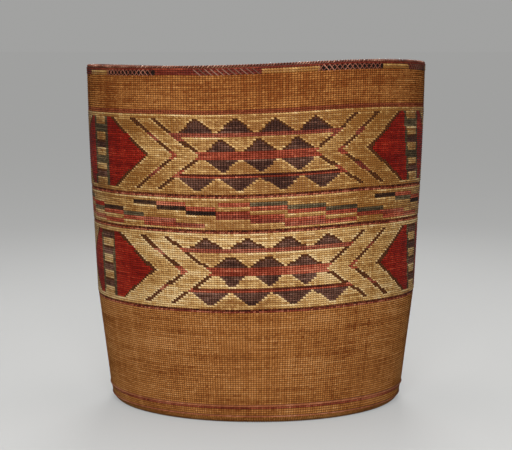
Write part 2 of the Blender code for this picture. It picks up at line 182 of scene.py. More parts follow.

# The finish of every strand: streaks along and across it, patches, how much each changes the
# shade, how fast the grooves clear of grime and painted shade, and the streaks' relief
STREAK_SCALE, STREAK_DETAIL, STREAK_SHADE = (260, 3200, 1), 3, 0.5
PATCH_SCALE, PATCH_DETAIL, PATCH_SHADE = 16, 4, 0.6
GRIME_AND_SHADE_POWER = 0.7
STREAK_RELIEF, STREAK_RELIEF_STRENGTH = 0.0002, 0.25

# The baking map: how far a stitch is drawn in along and across, the margin of a strip, and
# the size of the map of the base; and the radius that turns an angle into a length of weave
DRAWN_IN = (0.82, 0.86)
STRIP_MARGIN = 0.01
BASE_MAP_SIZE = 0.30
WALL_ROUND = 1.05
INNER_STRIPS, CORNER_STRIPS, CORD_STRIPS, DIAGONAL_STRIPS = 3, 8, 16, 12
WEAVE_RADIUS = 0.16

# The embroidered bands, in stitches and rows from the top: the middle of the front panel and
# its half width, the stitches that a chevron steps per row, the first row, the chevrons'
# tips, the last row, and the chevrons' arms and the red fields, from the panel's middle at
# that tip. Triangles: pitch, half width at the base, row of the tip and of the base. Arms:
# dye down to each row, from the top. Fields: rows without a border on the left. Cells: those
# of the dividers.
UPPER = dict(
    centre=0.8, half_width=63, steps=1.02, top=2.4, tip=20, bottom=37.2,
    inner=18.4, outer=27.9, field=40.2, diamond_shift=0.7, upright=(14.2, 6.5, 2.5, 8.6),
    hanging=(14.45, 6.3, 37.2, 31.5), diamonds=((13.2, 6.2, 12.4, 18.5), (13.2, 5.7, 27.8, 22.3)),
    bars=((8.6, 10.5, "maroon"), (18.5, 22.3, "rust"), (29, 31.4, "rust")),
    field_gap=(9.5, 12), cells=9, first_dark=1,
    inner_arm=((9, "tooth"), (13, "maroon"), (18, "tooth"), (22, "rust"), (27.5, "tooth"),
               (31, "rust"), (39, "tooth")),
    outer_arm=((8.8, "tooth"), (12.8, "maroon"), (18, "tooth"), (22, "rust"), (26.5, "tooth"),
               (31.5, "maroon"), (39, "tooth")))
LOWER = dict(
    centre=5.1, half_width=66, steps=1.1, top=2, tip=18.5, bottom=34.2,
    inner=19, outer=30, field=43.3, diamond_shift=-0.6, upright=(15, 7.2, 2.2, 7.5),
    hanging=(14.6, 6.6, 34, 28.5), diamonds=((13.2, 6.4, 10.8, 15.8), (13.2, 5.2, 25, 19.8)),
    bars=((7.5, 8.9, "maroon"), (15.8, 19.8, "rust"), (26, 28.4, "rust")),
    field_gap=(8, 10.5), cells=8, first_dark=0,
    inner_arm=((7.3, "tooth"), (9, "rust"), (16.5, "tooth"), (20, "rust"), (26.5, "tooth"),
               (28.5, "rust"), (36, "tooth")),
    outer_arm=((7.8, "tooth"), (11.2, "maroon"), (16.4, "tooth"), (20, "rust"), (25, "tooth"),
               (28.5, "maroon"), (36, "tooth")))
BANDS = dict(upper_band=UPPER, lower_band=LOWER)
FOUR_PLACES, THREE_PLACES = (-1.5, -0.5, 0.5, 1.5), (-1, 0, 1)

# Of all panels, in stitches: how far the motifs lean and the panels widen per row, the
# dividers and their rails, a triangle's tip, and the overlap, arms and borders
LEAN_PER_ROW = 0.06
SPREAD_PER_ROW = 0.0014
DIVIDER_STITCHES = 12
RAIL_STITCHES = 1.75
TIP_HALF_WIDTH = 0.8
BAR_OVERLAP = 0.5
FALLING_ARM, RISING_ARM, OUTER_ARM_EXTRA = 2.2, 1.8, 0.4
FIELD_BORDER, THIN_FIELD_BORDER = 2.2, 1.4

# Blocks of the middle band: first and last stitch, first row, the dye of the two rows from
# there and of the two rows below them, if any; the second half of the round repeats the first
BLOCK_ROWS = 2
BLOCKS = (
    (-80, -67.5, 5, "red", "green"), (-67.5, -54, 6, "black", "rust"),
    (-54, -42.5, 8, "green", "rust"), (-42.5, -29, 10, "maroon", "rust"),
    (-29, -18, 12, "maroon", None), (-80, -67, 11, "maroon", None), (-67, -54, 12, "rust", None),
    (-47.5, -36.5, 2, "black", None), (-36.5, -24.5, 2, "rust", "black"),
    (-24.5, -13.5, 4, "rust", "black"), (-13.5, -2, 6, "rust", "maroon"),
    (-2, 10.5, 8, "rust", "maroon"), (10.5, 24.75, 10, "rust", "maroon"),
    (24.75, 38, 12, "rust", None), (-13, -1.5, 2, "rust", None), (-1.5, 11, 2, "green", "rust"),
    (11, 25.25, 4, "green", "rust"), (25.25, 38, 6, "green", "rust"),
    (38, 51.5, 8, "green", "rust"), (51.5, 65.5, 10, "maroon", "rust"),
    (65.5, 79, 12, "maroon", None), (46, 58, 2, "black", None), (58, 71, 2, "rust", "green"),
    (71, 84, 4, "rust", "black"), (84, 98, 6, "rust", "maroon"), (98, 112, 8, "rust", "maroon"),
    (86, 98.5, 2, "rust", None), (98.5, 112, 2, "green", "rust"))

# Stretches of the rim rows: first stitch, dye of the rows, dye of the diagonal strands or
# none; the second half of the round repeats the first
RIM_STRETCHES = (
    (-96, "dyed_root", None), (-76, "straw", None), (-60, "black", "cord"),
    (-36, "dyed_root", None), (-21.5, "dyed_root", "purple"), (2, "straw", None),
    (22, "black", "cord"), (48, "straw", None), (64, "dyed_root", "purple"),
    (84, "straw", None))

# The diagonal strands: dye, lean and half width in stitches, shade; then their levels, the
# warps between two of them, their sections, their height over the rows in mm, the spread of
# their shades and the grime and painted shade at their edges
DIAGONALS = (("purple", -1.3, 0.36, 0.7), ("cord", -1.0, 0.26, 0.4), ("cord", 1.0, 0.23, 0.4))
DIAGONAL_BOTTOM, DIAGONAL_TOP = 0.3311, 0.3372
DIAGONAL_PITCH = 2
DIAGONAL_SECTIONS = 7
DIAGONAL_CROWN, DIAGONAL_FALL, DIAGONAL_ROUNDING, UNDER_STRAND = 0.75, 0.85, 0.5, 0.12
DIAGONAL_SPREAD = 0.15
DIAGONAL_EDGE_GRIME_AND_SHADE = 0.8

# The rim cord: strands, twists in the round, points per twist and round a strand, radius of a
# strand, how much fatter it is than half the cord, and the height of its centre over the wall
CORD_STRANDS, CORD_TWISTS, CORD_STEPS, CORD_SIDES = 2, 192, 8, 8
CORD_STRAND_RADIUS = 0.62 * MM
CORD_SWELL = 1.08
CORD_LIFT = 1.0 * MM

# How free the cord is of grime and painted shade beside its grooves, and how much freer and
# lighter, as painted highlight, on top, how much its shade varies, and the margin of each
# strand's strip in the baking map
CORD_GROOVE_CLEAN_AND_UNSHADED, CORD_TOP_CLEANER_AND_HIGHLIGHTED = 0.15, 0.95
CORD_SPREAD = 0.3
CORD_MARGIN = 0.05

# The warps: their two faces, from the outside of the wall, the rings of points where they run
# straight, the depth of the ribs, where those begin, how free they are of grime and painted
# shade, and their shades
WARP_FACES = ((1.15 * MM, 1), (2.15 * MM, -1))
WARP_SAMPLES = 4
WARP_BASE_RADII = (0.004, 0.05, 0.10, FLAT_BASE_RADIUS)
WARP_WALL_RINGS = 24
RIB_DEPTH = 0.35 * MM
RIBS_FROM_RADIUS = 0.13
RIB_CLEAN_AND_UNSHADED = 0.4
WARP_SHADES = (0.3, 0.7)

# The CAD nodes that the pieces stand for, by zone and dye
PANELS = ("front", "right", "left")
MOTIF_NODES = dict(
    purple=("figure", "left_chevron", "right_chevron"),
    red=("left_triangle", "right_triangle"), green=("divider",))
MIDDLE_NODES = dict(
    straw=("middle_band_ground", "middle_band_courses"),
    red=("front_stairs", "back_stairs"), maroon=("front_side_stairs", "back_side_stairs"))

# The floor: its colour as seen and as it bounces light, its glow for the camera, its finish,
# its size, and how far it lies under the basket; the world's strength as light and as seen
FLOOR_SEEN = (134, 134, 133)
FLOOR_BOUNCED = (84, 84, 83)
FLOOR_GLOW = 0.33
FLOOR_ROUGHNESS = 0.9
FLOOR_HALF_WIDTH = 60.0
FLOOR_GAP = 0.0003
WORLD_LIGHT = 0.09
WORLD_SEEN = 0.36
STUDIO_WHITE = (1, 1, 0.985, 1)

# Square lights: place, side, power in watts and beam in degrees, all turned to one target
LIGHTS = dict(
    key=((-0.03, -1.6, 0.72), 0.55, 10.8, 100),
    top=((0.0, 0.2, 2.2), 1.2, 21, 180),
    back=((0.1, 2.4, 1.1), 0.8, 6, 50))
LIGHT_TARGET = (0, 0, 0.17)

CAMERA_PLACE = (0, -1.8396, 0.36059)
CAMERA_PITCH = radians(5.768)
CAMERA_LENS = 127.93
CAMERA_SENSOR = 36


def smooth_noise(across, up, seed, harmonics):
    """A smooth random function of the angle and the level, about -1 to 1, without a seam."""
    source = np.random.default_rng(seed)
    total = 0
    for _ in range(NOISE_WAVES):
        turns = source.integers(1, harmonics + 1)
        rise = source.uniform(-1, 1) * harmonics
        phase = source.uniform(0, tau)
        total = total + np.sin(turns * across + rise * up / NOISE_HEIGHT + phase)
    return total / sqrt(NOISE_WAVES)


def wall_radius(level):
    """The outer radius of the wall at a level."""
    return np.interp(level, STATIONS[:, 0], STATIONS[:, 1])


def settled(points):
    """Lift and drop points as the rows of a handmade basket tilt, wave and dip."""
    x, y, z = points.T
    ramp = np.clip((z - FOOT_LEVEL) / (RIDGE_LEVEL - FOOT_LEVEL), 0, 1)
    share = np.clip((z - RIDGE_LEVEL) / (BASKET_HEIGHT - RIDGE_LEVEL), 0, None)
    tilt, wave, dip = (np.interp(z, HAND[:, 0], HAND[:, k]) for k in (1, 2, 3))
    azimuth = np.arctan2(x, -y)
    front = (1 + np.cos(azimuth)) / 2
    lift = tilt * np.sin(azimuth) + front * (wave * np.sin(2 * azimuth) - dip * np.cos(4 * azimuth))
    moved = points.copy()
    moved[:, 2] = z + ramp * (lift - BACK_DROP * ((1 - front) * share) ** 2)
    return moved


def half_round(column, start):
    """The columns of both halves of the round, counted as those of the first."""
    return (column - start) % (WARPS / 2) + start


def panel_position(band, column, row):
    """Stitches from the middle of the column's own panel, and from the nearest divider."""
    width = DIVIDER_STITCHES
    narrow = (WARPS - 2 * band["half_width"] - 3 * width) / 4
    reach = band["half_width"] + width
    turn = (column - band["centre"] + WARPS / 2) % WARPS - WARPS / 2
    spread = SPREAD_PER_ROW * turn * np.cos(turn * STITCH_ANGLE / 2)
    turn = turn - (LEAN_PER_ROW + spread) * (row - band["tip"])
    turn = (turn + WARPS / 2) % WARPS - WARPS / 2
    side = np.abs(turn)
    beside = np.sign(turn) * (side - reach - narrow) * band["half_width"] / narrow
    across = np.where(side <= band["half_width"], turn, beside)
    divider = np.where(side > WARPS / 2 - width, side - WARPS / 2, side - reach + width / 2)
    return across, divider


def draw_figure(dyes, band, across, row, drop):
    """The middle of a panel: rows of triangles, diamonds and the bars across them."""

    def triangles(pitch, half_base, tip, base, places, shift=0):
        share = (row - tip) / (base - tip)
        if 0 <= share <= 1:
            half = TIP_HALF_WIDTH + (half_base - TIP_HALF_WIDTH) * share
            for place in places:
                dyes[np.abs(across - shift - pitch * place) < half] = "purple"

    triangles(*band["upright"], FOUR_PLACES)
    triangles(*band["hanging"], FOUR_PLACES)
    for diamond in band["diamonds"]:
        triangles(*diamond, THREE_PLACES, band["diamond_shift"])
    for low, high, dye in band["bars"]:
        if low <= row <= high:
            dark_row = low == band["bars"][-1][0] and row < low + 1
            inside = np.abs(across) < band["inner"] + drop + BAR_OVERLAP
            dyes[inside] = "umber" if dark_row else dye


def draw_arms(dyes, band, across, row, drop):
    """The chevrons' arms on either side, and the red fields with their dark borders."""
    side = np.abs(across)
    falling = (across > 0) == (row > band["tip"])
    for reach, arm in ((band["inner"], band["inner_arm"]), (band["outer"], band["outer_arm"])):
        from_edge = side - reach - drop
        wide = np.where(falling, FALLING_ARM, RISING_ARM) + OUTER_ARM_EXTRA * (reach > band["inner"])
        dyes[(from_edge >= 0) & (from_edge < wide)] = next(dye for last, dye in arm if row < last)
    edge = side - band["field"] - drop
    border = np.where((across < 0) & (row > band["tip"]), THIN_FIELD_BORDER, FIELD_BORDER)
    low, high = band["field_gap"]
    if low < row < high:
        border = np.where(across < 0, 0, border)
    dyes[(edge >= 0) & (edge < border)] = "tooth"
    dyes[edge >= border] = "red"


def draw_divider(dyes, band, divider, row):
    """The ladder of light and dark cells between two panels, with its rails."""
    from_middle = np.abs(divider)
    cell = int((row - band["top"]) / (band["bottom"] - band["top"]) * band["cells"])
    inside = from_middle <= DIVIDER_STITCHES / 2
    dyes[inside] = "straw"
    if cell % 2 == band["first_dark"]:
        dyes[inside] = "green" if cell % 4 == 1 else "purple"
    dyes[inside & (from_middle > DIVIDER_STITCHES / 2 - RAIL_STITCHES)] = "green"


def band_dyes(band, column, row):
    """The dyes of one row of an embroidered band, by stitch."""
    dyes = np.full(column.shape, "straw", dtype="U8")
    if band["top"] <= row <= band["bottom"]:
        across, divider = panel_position(band, column, row)
        drop = abs(row - band["tip"]) * band["steps"]
        draw_figure(dyes, band, across, row, drop)
        draw_arms(dyes, band, across, row, drop)
        draw_divider(dyes, band, divider, row)
    return dyes


def middle_dyes(column, row):
    """The dyes of one row of the middle band: blocks that climb round the basket."""
    dyes = np.full(column.shape, "straw", dtype="U8")
    place = half_round(column, BLOCKS[0][0])
    for left, right, first, upper, lower in BLOCKS:
        inside = (place >= left) & (place < right)
        if first <= row < first + BLOCK_ROWS:
            dyes[inside] = upper
        elif lower and first + BLOCK_ROWS <= row < first + 2 * BLOCK_ROWS:
            dyes[inside] = lower
    return dyes


def rim_dyes(column, row):
    """The dyes of one rim row; the top one is dyed root all the way round."""
    dyes = np.full(column.shape, "dyed_root", dtype="U10")
    if row >= 1:
        place = half_round(column, RIM_STRETCHES[0][0])
        for start, dye, _ in RIM_STRETCHES:
            dyes[place >= start] = dye
    return dyes


def zone_dyes(zone, column, row):
    """The dyes of one row, counted from the top of its zone."""
    if zone in BANDS:
        return band_dyes(BANDS[zone], column, row)
    if zone == "middle_band":
        return middle_dyes(column, row)
    if zone == "rim_rows":
        return rim_dyes(column, row)
    dye = "root"
    if zone.startswith("foot_ridge"):
        dye = "ridge"
    elif zone.startswith("dyed"):
        dye = "umber" if row < 1 else "dyed_root"
    # Painted shade under the upper ridge: the foot's top row takes the dark dyed root
    elif zone == "foot" and row < 1:
        dye = "dyed_root"
    elif zone == "upper_wall" and row > RUDDY_ROW:
        dye = "ruddy"
    return np.full(column.shape, dye)


def raw_mesh(name, verts, faces, uv, weave, tone, crest):
    """A mesh object from arrays: four corners per face, two UV maps and two attributes."""
    mesh = bpy.data.meshes.new(name)
    mesh.vertices.add(len(verts))
    mesh.vertices.foreach_set("co", verts.astype(np.float32).ravel())
    mesh.loops.add(faces.size)
    mesh.loops.foreach_set("vertex_index", faces.astype(np.int32).ravel())
    mesh.polygons.add(len(faces))
    mesh.polygons.foreach_set("loop_start", np.arange(0, faces.size, 4, dtype=np.int32))
    mesh.update(calc_edges=True)
    mesh.shade_smooth()
    for title, places in (("OFBake", uv), ("weave", weave)):
        layer = mesh.uv_layers.new(name=title)
        layer.data.foreach_set("uv", places[faces.ravel()].astype(np.float32).ravel())
    for title, values in (("tone", tone), ("crest", crest)):
        attribute = mesh.attributes.new(title, "FLOAT", "POINT")
        attribute.data.foreach_set("value", values.astype(np.float32))
    obj = bpy.data.objects.new(name, mesh)
    bpy.context.scene.collection.objects.link(obj)
    return obj


def add_piece(obj, dye, nodes):
    """Give a piece its dye and its body, and hide the CAD nodes that it stands for."""
    obj.data.materials.append(materials[dye])
    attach(obj, "root")
    if nodes:
        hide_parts(*nodes)


def strip_faces(count, sections, corners):
    """Quads of many strips of sections, three points to a section, corners in that order."""
    index = np.arange(sections * 3).reshape(sections, 3)
    quads = np.stack((index[:-1, :-1], index[1:, :-1], index[1:, 1:], index[:-1, 1:]), -1)
    quads = quads.reshape(-1, 4)[:, corners]
    return (quads[None] + (np.arange(count) * sections * 3)[:, None, None]).reshape(-1, 4)


def stitch_outline(shape):
    """A stitch's points: place along it, side, half width, height, how free of grime and painted
    shade.
    """
    sections = len(shape["halves"])
    along = np.linspace(-1, 1, sections).repeat(3)
    side = np.tile((-1, 0, 1), sections)
    half = np.array(shape["halves"]).repeat(3)
    height = np.array([(edge, crest, edge) for crest, edge in
                       zip(shape["crest"], shape["edge"])]).ravel() * MM
    # Grime and painted shade darken the stitch along its sides and at its ends
    across_clean_and_unshaded = np.tile((shape["sides"], 1, shape["sides"]), sections)
    along_clean_and_unshaded = np.interp(np.abs(along), (0, 0.5, 1), (1, HALFWAY_CLEAN_AND_UNSHADED, shape["ends"]))
    return along, side, half, height, across_clean_and_unshaded * along_clean_and_unshaded


def base_map(column, radius):
    """Places in the baking map of a flat piece, which is seen from above."""
    angle = column * STITCH_ANGLE
    return np.stack((radius * np.sin(angle), radius * np.cos(angle)), -1) / BASE_MAP_SIZE + 0.5


def wall_map(column, ahead, up, strips):
    """Places in the baking map of a piece that goes round, cut into strips one over another."""
    turn = ((column + WARPS / 2) / WARPS * strips) % strips
    strip = np.floor(turn)
    u = turn - strip + ahead / WARPS * strips
    inside = 1 - 2 * STRIP_MARGIN
    return np.stack((STRIP_MARGIN + inside * u, (strip + STRIP_MARGIN + inside * up) / strips), -1)


def stitch_piece(name, dye, kind, stitches, nodes, strips=1, inward=False, flat=False):
    """One piece from a table of stitches.

    Each stitch has: column, stitches across, lower radius and level, upper radius and level,
    tone. strips is how many strips the round is cut into for baking.
    """
    shape = STITCHES[kind]
    along, side, half, height, crest = stitch_outline(shape)
    count = len(stitches)
    column, width, low_r, low_z, high_r, high_z, tone = np.array(stitches).T[:, :, None]

    # Where each point lies, in stitches from the column and in rows from the row's middle
    ahead = shape["reach"] * along[None] * width
    above = shape["lean"] * along[None] + side[None] * half[None]
    above = above * (1 + random.normal(0, STITCH_STRAY, (count, 1)))
    out = height[None] - np.abs(random.normal(0, STITCH_SUNK, (count, 1))) * MM
    slope_r, slope_z = high_r - low_r, high_z - low_z
    length = np.hypot(slope_r, slope_z)
    sense = -1 if inward else 1
    radius = low_r + slope_r * (above + 0.5) + sense * out * slope_z / length
    level = low_z + slope_z * (above + 0.5) - sense * out * slope_r / length
    angle = (column + ahead) * STITCH_ANGLE
    sway = WARP_SWAY * smooth_noise(angle, level, *SWAY_NOISE)
    drift = ROW_DRIFT * smooth_noise(angle, level, *DRIFT_NOISE)
    if not flat:
        level = level + drift * np.clip((level - RIDGE_LEVEL) / DRIFT_RISE, 0, 1)
    angle = angle + sway * STITCH_ANGLE * np.clip(level / SWAY_RISE, 0, 1)
    points = np.stack((radius * np.sin(angle), -radius * np.cos(angle), level), -1)
    faces = strip_faces(count, len(shape["halves"]), (3, 2, 1, 0) if inward else (0, 1, 2, 3))

    up = (low_z + slope_z * (above + 0.5)) + low_r + slope_r * (above + 0.5)
    weave = np.stack((angle * WEAVE_RADIUS, up), -1)
    drawn_in = column + ahead * DRAWN_IN[0]
    share = above * DRAWN_IN[1] + 0.5
    if flat:
        uv = base_map(drawn_in, low_r + slope_r * share)
    else:
        bottom, top = low_z.min(), high_z.max()
        uv = wall_map(column, drawn_in - column, (low_z + slope_z * share - bottom)
                      / (top - bottom), strips)
    obj = raw_mesh(name, settled(points.reshape(-1, 3)), faces, uv.reshape(-1, 2),
                   weave.reshape(-1, 2), np.broadcast_to(tone, ahead.shape).ravel(),
                   np.broadcast_to(crest, ahead.shape).ravel())
    add_piece(obj, dye, nodes)


def tones(column, row_tone, column_tone, level, spreads=PLAIN_SPREADS):
    """Shade of each stitch: its own, its row's, its warp's, its strand's and broad patches."""
    patchy, streaky = spreads
    own = random.normal(0, OWN_SPREAD, column.shape)
    patch = patchy * smooth_noise(column * STITCH_ANGLE, level, *PATCH_NOISE)
    run = min(STRAND_RUN, len(column))
    strand = np.convolve(random.normal(0, 1, len(column) + run - 1), np.ones(run), "valid")
    return MIDDLE_SHADE + own + row_tone + column_tone + patch + streaky * strand / sqrt(run)


def wall_rows():
    """Every row of the wall: zone, kind, row from the zone's top, lower and upper edge."""
    rows = []
    bottom = WALL_BOTTOM
    for zone, top, count, kind in ZONES:
        levels = np.linspace(bottom, top, count + 1)
        levels[1:-1] += random.normal(0, ROW_STRAY, count - 1) * (top - bottom) / count
        for index in range(count):
            low, high = levels[index], levels[index + 1]
            rows.append((zone, kind, count - index - 0.5, wall_radius(low), low,
                         wall_radius(high), high))
        bottom = top
    return rows


def zone_nodes(zone, dye):
    """The CAD nodes that a zone's piece of one dye stands for."""
    if zone in BANDS:
        parts = MOTIF_NODES.get(dye, ())
        nodes = [f"{zone}_{panel}_{part}" for panel in PANELS for part in parts]
        return nodes + ([f"{zone}_ground", f"{zone}_courses"] if dye == "straw" else [])
    if zone == "middle_band":
        return MIDDLE_NODES.get(dye, ())
    if zone == "rim_rows":
        return ("rim_rows_overlay",) if dye == "straw" else ()
    if zone in ("foot", "lower_wall", "upper_wall"):
        return (zone + "_courses",)
    return (zone,)


def banded_row(zone, row, dyes, shade):
    """Straw, darker in some zones, has painted highlight by dyed grass; dyed edges under it are
    toothed.
    """
    over = zone_dyes(zone, COLUMNS, row - 1)
    straw = dyes == "straw"
    shade = shade - STRAW_DARKER.get(zone, 0) * straw
    # Painted highlight on straw under dyed grass and on the band's top row
    shade = shade + STRAW_EDGE_HIGHLIGHT * (straw & ((over != "straw") | (row < 1)))
    teeth = ~straw & (dyes != "rust") & (over == "straw")
    dyes[teeth & (dyes == "purple")] = "tooth"
    # Painted highlight on straw beside the teeth
    return shade + STRAW_EDGE_HIGHLIGHT * (straw & (np.roll(teeth, 1) | np.roll(teeth, -1)))


def weave_wall():
    """The outer face of the wall."""
    column_tone = random.normal(0, WARP_SPREAD, WARPS)
    buckets = {}
    for zone, kind, row, *edges in wall_rows():
        banded = kind == "overlay"
        shade = tones(COLUMNS, random.normal(0, ROW_SPREAD), column_tone, edges[1],
                      BANDED_SPREADS if banded else PLAIN_SPREADS) - ZONE_DARKER.get(zone, 0)
        dyes = zone_dyes(zone, COLUMNS, row)
        if banded:
            shade = banded_row(zone, row, dyes, shade)
        if zone.startswith("dyed"):
            shade = shade + random.choice(DYED_ROW_SHADES, WARPS, p=DYED_ROW_SHARES)
        part = "_upper" if zone == "lower_wall" and row < LOWER_WALL_SPLIT_ROW else ""
        for dye in np.unique(dyes):
            dye = str(dye)
            form = "ribbed" if banded and dye in RIBBED_DYES else kind
            for index in np.flatnonzero(dyes == dye):
                buckets.setdefault((zone, dye, form, part), []).append(
                    (COLUMNS[index], 1, *edges, shade[index]))
    for (zone, dye, kind, part), stitches in buckets.items():
        height = max(s[5] for s in stitches) - min(s[3] for s in stitches)
        strips = max(1, round(sqrt(WALL_ROUND / height)))
        stitch_piece(f"{zone}{part}_{dye}_stitches", dye, kind, stitches,
                     zone_nodes(zone, dye), strips)


def corner_stitches(depth, sweep, count, darker=0.0):
    """Stitches of the rows round the foot's corner, at a depth in the wall."""
    turns = np.linspace(0, sweep, count + 1)
    reach = CORNER_RADIUS - depth
    edges = np.stack((FLAT_BASE_RADIUS + reach * np.sin(turns),
                      CORNER_RADIUS - reach * np.cos(turns)), -1)
    stitches = []
    for low, high in zip(edges, edges[1:]):
        shade = tones(COLUMNS, random.normal(0, INNER_ROW_SPREAD) - darker, 0, low[1])
        stitches += [(c, 1, *low, *high, t) for c, t in zip(COLUMNS, shade)]
    return stitches


def base_stitches(depth, darker=0.0):
    """Stitches of the flat base, ring by ring, at a depth in it."""
    edges = np.linspace(FIRST_RING_RADIUS, FLAT_BASE_RADIUS, BASE_RINGS + 1)
    stitches = []
    for low, high in zip(edges, edges[1:]):
        count = next(number for reach, number in RING_STITCHES if low < reach)
        width = WARPS / count
        ring = (np.arange(count) + 0.5) * width
        shade = tones(ring, random.normal(0, INNER_ROW_SPREAD) - darker, 0, low)
        stitches += [(c, width, low, depth, high, depth, t) for c, t in zip(ring, shade)]
    return stitches


def weave_foot():
    """The rounded corner and the flat underside of the base."""
    corner = corner_stitches(0, OUTER_TURN, OUTER_CORNER_ROWS, UNDERSIDE_DARKER)
    stitch_piece("foot_corner_stitches", "root", "plain", corner, ("foot_courses",),
                 CORNER_STRIPS)
    base = base_stitches(0, UNDERSIDE_DARKER)
    stitch_piece("base_stitches", "root", "plain", base, ("base_courses",), flat=True)


def weave_inside():
    """The inner face of the wall and the floor of the inside."""
    column_tone = random.normal(0, INNER_WARP_SPREAD, WARPS)
    buckets = {}
    for zone, _, _, low_r, low_z, high_r, high_z in wall_rows():
        if zone == "foot_ridge_lower":
            # The inner face starts above this row
            continue
        shade = tones(COLUMNS, random.normal(0, INNER_ROW_SPREAD), column_tone, low_z)
        buckets.setdefault(int(low_z / INNER_PART_HEIGHT), []).extend(
            (c, 1, low_r - WALL_DEPTH, low_z, high_r - WALL_DEPTH, high_z, t)
            for c, t in zip(COLUMNS, shade))
    for part, stitches in buckets.items():
        stitch_piece(f"inner_courses_{part}", "inner_root", "inner", stitches,
                     ("inner_courses",), INNER_STRIPS, inward=True)
    corner = corner_stitches(WALL_DEPTH, INNER_TURN, INNER_CORNER_ROWS)
    stitch_piece("inner_corner_stitches", "inner_root", "inner", corner,
                 ("inner_courses",), CORNER_STRIPS, inward=True)
    stitch_piece("inner_base_stitches", "inner_root", "inner", base_stitches(WALL_DEPTH),
                 ("inner_base_courses",), inward=True, flat=True)


def warp_rings():
    """Radius, level and outward sense of the warps' rings, out along one face and back."""
    sides = []
    for depth, sense in WARP_FACES:
        path = [(radius, depth, sense) for radius in WARP_BASE_RADII]
        reach = CORNER_RADIUS - depth
        for turn in np.linspace(0, WARP_TURN, WARP_CORNER_STEPS + 1)[1:]:
            path.append((FLAT_BASE_RADIUS + reach * sin(turn), CORNER_RADIUS - reach * cos(turn),
                         sense))
        for level in np.linspace(RIDGE_LEVEL, WALL_TOP, WARP_WALL_RINGS):
            path.append((wall_radius(level) - depth, level, sense))
        sides.append(path)
    return sides[0] + sides[1][::-1]


def weave_warps():
    """The warps behind the stitches: close-set ribs that run out over the base and up."""
    samples = np.arange(WARPS * WARP_SAMPLES)
    angle = samples / (WARPS * WARP_SAMPLES) * tau
    rib = 0.5 - 0.5 * np.cos(samples / WARP_SAMPLES * tau)
    rings = warp_rings()
    points = []
    for radius, level, sense in rings:
        r = radius + sense * (rib - 1) * RIB_DEPTH * (radius > RIBS_FROM_RADIUS)
        points.append(np.stack((r * np.sin(angle), -r * np.cos(angle),
                                np.full(angle.shape, level)), -1))
    points = np.concatenate(points)
    index = np.arange(len(points)).reshape(len(rings), len(angle))
    beside = np.roll(index, -1, axis=1)
    faces = np.stack((index[:-1], beside[:-1], beside[1:], index[1:]), -1).reshape(-1, 4)
    uv = np.stack((np.tile(angle / tau, len(rings)),
                   np.repeat(np.arange(len(rings)) / len(rings), len(angle))), -1)
    shades = random.uniform(*WARP_SHADES, WARPS)
    tone = np.tile(np.repeat(shades, WARP_SAMPLES), len(rings))
    # Grime and painted shade darken the troughs between the ribs
    crest = np.tile(rib, len(rings)) * RIB_CLEAN_AND_UNSHADED
    weave = np.stack((points[:, 2], np.tile(angle, len(rings)) * WEAVE_RADIUS), -1)
    obj = raw_mesh("warps", settled(points), faces, uv, weave, tone, crest)
    add_piece(obj, "warp", ("warp_frame",))


def cord_strand(number):
    """One strand of the rim cord: points, faces, both maps, tone and crest."""
    centre_r = wall_radius(WALL_TOP) - WALL_DEPTH / 2
    centre_z = WALL_TOP + CORD_LIFT
    count, sides = CORD_TWISTS * CORD_STEPS, CORD_SIDES
    across = np.arange(count) / count * tau
    around = np.arange(sides) / sides * tau
    twist = across * CORD_TWISTS + number * tau / CORD_STRANDS
    r0 = centre_r + CORD_STRAND_RADIUS * np.cos(twist)
    z0 = centre_z + CORD_STRAND_RADIUS * np.sin(twist)
    r = r0[:, None] + CORD_STRAND_RADIUS * CORD_SWELL * np.cos(around)[None]
    z = z0[:, None] + CORD_STRAND_RADIUS * CORD_SWELL * np.sin(around)[None]
    points = np.stack((r * np.sin(across)[:, None], -r * np.cos(across)[:, None], z), -1)

    index = np.arange(count * sides).reshape(count, sides) + number * count * sides
    ahead, beside = np.roll(index, -1, 0), np.roll(index, -1, 1)
    faces = np.stack((index, beside, np.roll(ahead, -1, 1), ahead), -1)

    turn = across / tau * CORD_STRIPS
    u = (turn - np.floor(turn))[:, None] + 0 * around[None]
    v = (np.floor(turn)[:, None] * CORD_STRANDS + number + CORD_MARGIN
         + (1 - 2 * CORD_MARGIN) * (np.arange(sides) / sides)[None]) / (CORD_STRIPS * CORD_STRANDS)
    uv = np.stack((u, v), -1)
    weave = np.stack((across[:, None] * centre_r + 0 * around[None],
                      around[None] * CORD_STRAND_RADIUS + 0 * across[:, None]), -1)

    seed, harmonics = CORD_NOISE
    patch = CORD_SPREAD * smooth_noise(across, 0 * across, seed + number, harmonics)
    tone = np.repeat(np.clip(MIDDLE_SHADE + patch, 0, 1), sides)
    # Painted shade and grime in the grooves between the strands, painted highlight on top of each
    facing = np.cos(around[None] - twist[:, None])
    crest = np.clip(CORD_GROOVE_CLEAN_AND_UNSHADED + CORD_TOP_CLEANER_AND_HIGHLIGHTED * facing, 0, 1)
    return (points.reshape(-1, 3), faces.reshape(-1, 4), uv.reshape(-1, 2),
            weave.reshape(-1, 2), tone, crest.ravel())


def twist_rim_cord():
    """Two strands twisted round each other along the edge of the mouth."""
    strands = zip(*[cord_strand(number) for number in range(CORD_STRANDS)])
    points, *others = (np.concatenate(arrays) for arrays in strands)
    obj = raw_mesh("rim_cord_strands", settled(points), *others)
    add_piece(obj, "cord", ("rim_cord",))


